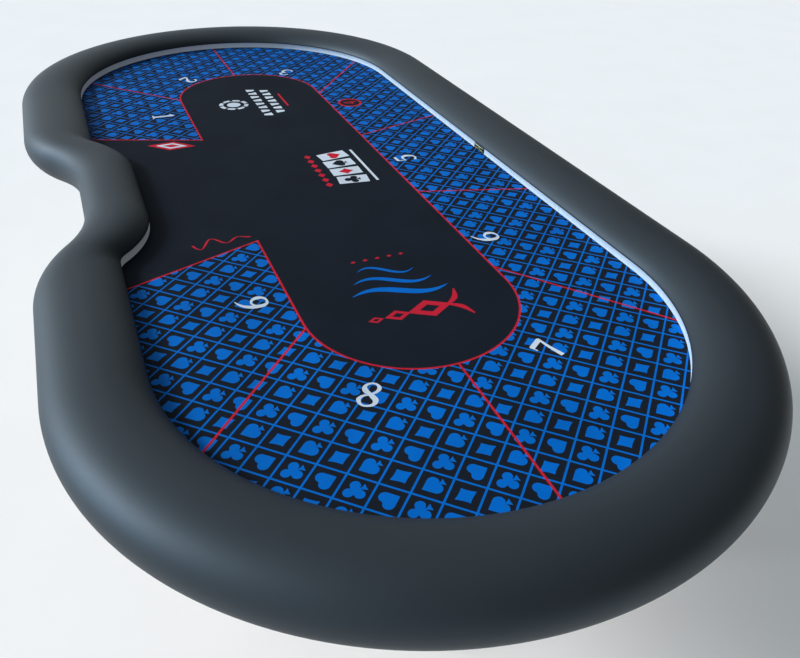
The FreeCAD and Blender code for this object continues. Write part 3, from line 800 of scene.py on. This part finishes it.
# Seat: the place of its number, and the direction that is up for it, in degrees
SEATS = {
    1: (-10.87, -5.8, 90),
    2: (-17.5, -3.15, 38),
    3: (-17.18, 3.55, -38),
    5: (-0.05, 5.47, -90),
    6: (9.62, 5.32, -90),
    7: (17.95, 3.42, -145),
    8: (17.88, -3.53, 142),
    9: (11.1, -5.8, 90),
}
# Seat 4 has a ring round its number: place and direction, the ring's two radii, and the digit's height
MARKED_SEAT = (-9.67, 5.67, -90)
MARKED_RING = (0.76, 0.62)
MARKED_DIGIT_HEIGHT = 0.84


def print_digit(sheet, digit, x, y, up, height, ink, rank):
    """One digit; a 6 is a 9 upside down."""
    turned = 180 if digit == 6 else 0
    shape = 9 if digit == 6 else digit
    quads = [q for stroke in DIGITS.get(shape, ()) for q in ribbon(stroke)]
    if shape in RINGS:
        quads += ribbon(RINGS[shape], closed=True)
    for quad in quads:
        sheet.add(placed(quad, x, y, up - 90 + turned, height), ink, rank)


def print_numbers(sheet):
    """The seat numbers, with seat 4's in a ring."""
    for digit, (x, y, up) in SEATS.items():
        print_digit(sheet, digit, x, y, up, DIGIT_HEIGHT, "white", 5)
    x, y, up = MARKED_SEAT
    sheet.add(circle(x, y, MARKED_RING[0]), "red", 5)
    sheet.add(circle(x, y, MARKED_RING[1]), "gap", 6)
    print_digit(sheet, 4, x, y, up, MARKED_DIGIT_HEIGHT, "red", 7)


def card_row(sheet):
    """Four playing cards in a row between a white rule and a row of red lozenges."""
    rule_y, cards_y, lozenges_y = 3.0, 1.82, 0.45
    card = [(-0.44, -0.8), (0.44, -0.8), (0.44, 0.8), (-0.44, 0.8)]
    suits = ((heart, "red"), (spade, "gap"), (diamond, "red"), (club, "gap"))
    for k, (suit, ink) in enumerate(suits):
        x, lean = -1.72 + 1.1 * k, 8 - 5 * k
        sheet.add(placed(card, x, cards_y, lean), "white", 5)
        sheet.add(placed(suit(), x, cards_y, 180 + lean, 1.15), ink, 6)
    sheet.add(straight((-2.2, rule_y), (2.1, rule_y), 0.07), "white", 5)
    lozenge = [(-0.26, 0), (0, -0.2), (0.26, 0), (0, 0.2)]
    for k in range(7):
        sheet.add(placed(lozenge, -1.95 + 0.63 * k, lozenges_y), "red", 5)


def chip_mark(sheet):
    """A casino chip with two rows of pips and a red rule beside it."""
    chip_x, chip_y = -11.56, -1.41
    sheet.add(circle(chip_x, chip_y, 0.9, count=36), "white", 5)
    sheet.add(circle(chip_x, chip_y, 0.66, count=32), "gap", 6)
    sheet.add(circle(chip_x, chip_y, 0.42), "white", 7)
    notch = [(0.7, -0.09), (0.95, -0.09), (0.95, 0.09), (0.7, 0.09)]
    for turn in range(0, 360, 45):
        sheet.add(placed(notch, chip_x, chip_y, turn), "gap", 6)
    rows_x, pitch = -11.6, 0.68
    pip = [(-0.24, -0.26), (0.24, -0.26), (0.12, 0.26), (-0.12, 0.26)]
    for row_y, count in ((0.2, 8), (1.05, 7)):
        for k in range(count):
            x = rows_x + pitch * (k - (count - 1) / 2)
            sheet.add(placed(pip, x, row_y, 180 * (k % 2)), "white", 5)
    rule_y = 1.78
    sheet.add(straight((-12.8, rule_y), (-10.4, rule_y), 0.06), "red", 5)


def dealer_marks(sheet):
    """A lozenge in red, white and red beside the dealer, and a red flourish on the other side."""
    turn = math.degrees(math.atan2(-DEALER_OUT[1] - GROUND_HALF_WIDTH, DEALER_OUT[0] - DEALER_HALF))
    x, y = -6.0, -6.1
    lozenge = [(-1.3, 0), (0, -0.62), (1.3, 0), (0, 0.62)]
    for size, ink, rank in ((1.0, "red", 5), (0.66, "white", 6), (0.36, "red", 7)):
        sheet.add(placed(lozenge, x, y, turn, size), ink, rank)

    x, start_y = 5.75, -7.1
    wave = []
    for k in range(17):
        swing = 0.5 * math.sin(0.85 * k) * (1 - k / 18)
        wave.append((x + swing, start_y + 0.16 * k, 0.032 + 0.014 * math.cos(1.7 * k)))
    for quad in ribbon(wave):
        sheet.add(quad, "red", 5)


def river_mark(sheet):
    """Three blue waves between small red lozenges and a growing row of large ones with a forked end."""
    small_x, waves_x, large_x = 9.6, 12.35, 13.95
    for k, (width, reach) in enumerate(((0.17, 2.0), (0.12, 1.65), (0.08, 1.2))):
        path = []
        for step in range(9):
            t = step / 4 - 1
            swing = 0.42 * math.sin(2.6 * t)
            path.append((waves_x - 0.85 * k + swing, -0.05 + reach * t, width * (1.05 - t * t)))
        for quad in ribbon(path):
            sheet.add(quad, "blue", 5)
    small = [(0, -0.12), (0.09, 0), (0, 0.12), (-0.09, 0)]
    for k in range(5):
        sheet.add(placed(small, small_x, -1.1 + 0.55 * k), "red", 5)
    large = [(0, -1.0), (0.62, 0), (0, 1.0), (-0.62, 0)]
    for y, size in ((-1.75, 0.32), (-0.85, 0.55), (0.5, 0.95)):
        sheet.add(placed(large, large_x, y, 0, size), "red", 5)
        sheet.add(placed(large, large_x, y, 0, size * 0.45), "gap", 6)
    for side in (-1, 1):
        prong = [(0, 1.3, 0.06), (0.35, 1.75, 0.12), (0.95, 2.0, 0.03)]
        for quad in ribbon([(large_x + out * side, y, width) for out, y, width in prong]):
            sheet.add(quad, "red", 5)


def print_cloth():
    """Every printed shape, as thin flat pieces that lie on the cloth."""
    sheet = Print()
    edge = inside_outline(INK_UNDER_BAND) / CELL
    sheet.add([(x, y - PRINT_Y) for x, y in edge], "edge", 0)
    print_lattice(sheet)
    print_ground(sheet)
    print_numbers(sheet)
    card_row(sheet)
    chip_mark(sheet)
    dealer_marks(sheet)
    river_mark(sheet)
    points, parts = sheet.layers()
    made = []
    for ink, triangles in parts.items():
        used = sorted({v for t in triangles for v in t})
        index = {v: i for i, v in enumerate(used)}
        verts = [(points[v].x, points[v].y, CLOTH_Z + INK_LIFT) for v in used]
        faces = [tuple(index[v] for v in t) for t in triangles]
        layer = piece("print_" + ink, verts, faces, INKS["blue" if ink == "lattice" else ink])
        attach(layer, "top")
        made.append(layer)
    return made


# ---------------------------------------------------------------- light band

def light_band():
    """The milky face of the light band: a rounded lip along each edge and a shallow recess between."""
    lip, soft, corner, recess = 1.8 * MM, 0.4 * MM, 0.1 * MM, 0.5 * MM
    half = [(BAND_DEPTH, 0.0), (soft, 0.0), (corner, corner), (0.0, soft)]
    half += [(0.0, lip - soft), (corner, lip - corner), (recess, lip + recess)]
    section = [(outward, BAND_LOW_Z + rise) for outward, rise in half]
    section += [(outward, BAND_HIGH_Z - rise) for outward, rise in reversed(half)]
    rings = [at_height(inside_outline(outward), z) for outward, z in section]
    made = swept("light_band_face", rings, diffuser_finish(), closed=True)
    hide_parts("led_diffuser")
    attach(made, "top")


def tube(name, path, radius, material):
    """A closed round tube through a path."""
    sides = 10
    path = [Vector(p) for p in path]
    verts, faces = [], []
    side = Vector((0, 0, 1))
    for i, here in enumerate(path):
        along = (path[min(i + 1, len(path) - 1)] - path[max(i - 1, 0)]).normalized()
        across = along.cross(side).normalized()
        side = across.cross(along).normalized()
        for k in range(sides):
            a = 2 * math.pi * k / sides
            verts.append(here + (across * math.cos(a) + side * math.sin(a)) * radius)
    for ring in range(len(path) - 1):
        for k in range(sides):
            low, high = ring * sides, (ring + 1) * sides
            faces.append((low + k, low + (k + 1) % sides, high + (k + 1) % sides, high + k))
    faces.append(tuple(reversed(range(sides))))
    faces.append(tuple(range(len(verts) - sides, len(verts))))
    return piece(name, verts, faces, material)


def band_joiner():
    """The dark clip where the band's ends meet, open in front, with its strip and wire showing."""
    wall = 1.6 * MM
    low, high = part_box("led_junction")
    mesh = bpy.data.meshes.new("band_joiner")
    form = bmesh.new()
    bmesh.ops.create_cube(form, size=1.0)
    for vert in form.verts:
        for axis in range(3):
            vert.co[axis] = high[axis] if vert.co[axis] > 0 else low[axis]
    front = min(form.faces, key=lambda face: face.calc_center_median().y)
    bmesh.ops.inset_region(form, faces=[front], thickness=wall)
    for vert in front.verts:
        vert.co.y += wall
    form.to_mesh(mesh)
    form.free()
    mesh.materials.append(moulded_finish("joiner_black", (0.006, 0.007, 0.006), 0.35))
    clip = bpy.data.objects.new("band_joiner", mesh)
    bpy.context.scene.collection.objects.link(clip)
    soften_edges(clip, 0.4 * MM)
    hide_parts("led_junction")
    y = low.y + 1.1 * MM
    start, end = low.x + 2.2 * MM, high.x - 2.2 * MM
    middle, base, top = (start + end) / 2, low.z + 2.4 * MM, high.z - 2.4 * MM
    strip_path = [(start, y, top), (middle, y, top), (end, y, top)]
    wire_path = [(start, y, base + 0.4 * MM)]
    for along, out, rise in ((-8, 0, 0.3), (-3, 0, 2), (0, 0.3, 4), (3, 0, 2), (8, 0, 0.3)):
        wire_path.append((middle + along * MM, y - out * MM, base + rise * MM))
    wire_path.append((end, y, base + 0.4 * MM))
    cream = moulded_finish("strip_cream", (0.55, 0.60, 0.36), 0.4)
    yellow = moulded_finish("wire_yellow", (0.46, 0.44, 0.08), 0.4)
    strip = tube("joiner_strip", strip_path, 0.9 * MM, cream)
    wire = tube("joiner_wire", wire_path, 0.6 * MM, yellow)
    for made in (clip, strip, wire):
        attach(made, "top")


# ---------------------------------------------------------------- stage

def camera():
    data = bpy.data.cameras.new("photo_view")
    data.lens = CAMERA_LENS
    data.shift_x = CAMERA_SHIFT
    made = bpy.data.objects.new("photo_view", data)
    made.location = CAMERA_PLACE
    made.rotation_euler = [math.radians(a) for a in CAMERA_TURN]
    bpy.context.scene.collection.objects.link(made)
    bpy.context.scene.camera = made


def soft_sun(name, direction, spread, power, colour):
    """A far, wide light from a direction, with its spread in degrees."""
    data = bpy.data.lights.new(name, "SUN")
    data.angle = math.radians(spread)
    data.energy = power
    data.color = colour
    made = bpy.data.objects.new(name, data)
    made.location = direction
    made.rotation_euler = Vector(direction).to_track_quat("Z", "Y").to_euler()
    bpy.context.scene.collection.objects.link(made)


def studio_world():
    """Soft light from all round, strongest on the window's side."""
    world = bpy.data.worlds.new("studio")
    bpy.context.scene.world = world
    world.use_nodes = True
    nodes, links = world.node_tree.nodes, world.node_tree.links
    place = nodes.new("ShaderNodeTexCoord")
    toward = nodes.new("ShaderNodeVectorMath")
    toward.operation = "DOT_PRODUCT"
    toward.inputs[1].default_value = Vector(WINDOW_SIDE).normalized()
    links.new(place.outputs["Generated"], toward.inputs[0])
    ramp = nodes.new("ShaderNodeMapRange")
    ramp.interpolation_type = "SMOOTHSTEP"
    for socket, value in WORLD_STRENGTH.items():
        ramp.inputs[socket].default_value = value
    links.new(toward.outputs["Value"], ramp.inputs["Value"])
    background = nodes["Background"]
    background.inputs["Color"].default_value = WORLD_COLOUR
    links.new(ramp.outputs["Result"], background.inputs["Strength"])


def lights():
    studio_world()
    for name, sun in SUNS.items():
        soft_sun(name, *sun)


def floor():
    """Pale matt studio floor."""
    made = Finish("pale_floor", specular_ior_level=0.1)
    dust = made.noise(3.0, 5.0)
    made.set("Base Color", made.blend(dust, [(0.93, 0.90, 0.865), (0.95, 0.92, 0.885)]))
    made.set("Roughness", made.spread(dust, 0.85, 0.92))
    rim = [(x, y, 0) for x, y in circle(0, 0, FLOOR_RADIUS, count=96)]
    piece("studio_floor", rim, [tuple(range(len(rim)))], made.material, smooth=False)


# ---------------------------------------------------------------- CAD nodes that stay

def dress(names, material):
    """Gives the CAD nodes with these names a finish."""
    for name in names:
        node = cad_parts[name]
        node.data.materials.clear()
        node.data.materials.append(material)


def dress_frame():
    """Every CAD node that no piece replaces gets its finish here."""
    ends = ("near", "far")
    corners = [end + "_" + hand for end in ends for hand in ("left", "right")]
    tubes = [corner + "_tube" for corner in corners]
    bars = [end + "_" + level + "_bar" for end in ends for level in ("upper", "lower")]
    birch = wood_finish("birch_ply", BIRCH_PALE, BIRCH_DARK, BIRCH_FIGURE)
    pine = wood_finish("pine_lengthwise", PINE_PALE, PINE_DARK, PINE_FIGURE)
    pine_across = wood_finish("pine_crosswise", PINE_PALE, PINE_DARK, PINE_FIGURE, math.pi / 2)
    bracket_zinc = metal_finish("bracket_zinc", (0.55, 0.56, 0.58), 0.36, (1, 0.05, 1))
    rubber = moulded_finish("foot_rubber", (0.018, 0.018, 0.018), 0.75, 0.08 * MM)
    case_black = moulded_finish("case_black", (0.02, 0.02, 0.021), 0.5)
    zinc = metal_finish("zinc_plate", (0.62, 0.63, 0.64))
    dress(["base_board", "play_board", "rail_riser", "rail_ring_board", "board_packers"], birch)
    dress(["side_batten_left", "side_batten_right"], pine)
    dress(["end_batten_near", "end_batten_far"], pine_across)
    dress(["play_foam"], foam_finish("grey_foam", (0.30, 0.31, 0.32)))
    dress(["rail_foam"], foam_finish("yellow_foam", (0.62, 0.56, 0.40)))
    dress(["board_screws", "rail_bolts", "rail_washers", "rail_tee_nuts", "controller_screws"], zinc)
    dress(["batten_screws", "bracket_screws"] + [c + "_pivot_bolt" for c in corners], zinc)
    dress(["led_channel"], metal_finish("anodised_channel", (0.70, 0.71, 0.73), 0.38, (0.05, 0.05, 1.0)))
    dress(["led_strip"], strip_finish())
    dress(["led_lead"], moulded_finish("lead_black", (0.014, 0.014, 0.015), 0.5))
    dress(["controller_case", "controller_plate"], case_black)
    dress(["dc_inlet"], metal_finish("inlet_nickel", (0.66, 0.63, 0.58), 0.25))
    dress([c + "_bracket" for c in corners], bracket_zinc)
    dress([c + "_knob" for c in corners], moulded_finish("knob_black", (0.015, 0.015, 0.016), 0.42))
    dress([c + "_foot" for c in corners], rubber)
    dress(tubes + bars, painted_finish("leg_powder_coat", (0.016, 0.016, 0.017)))


rail_cover()
declare_cloth(cloth_sheet(), print_cloth())
light_band()
band_joiner()
dress_frame()
floor()
lights()
camera()
bpy.context.scene.view_settings.view_transform = "Standard"
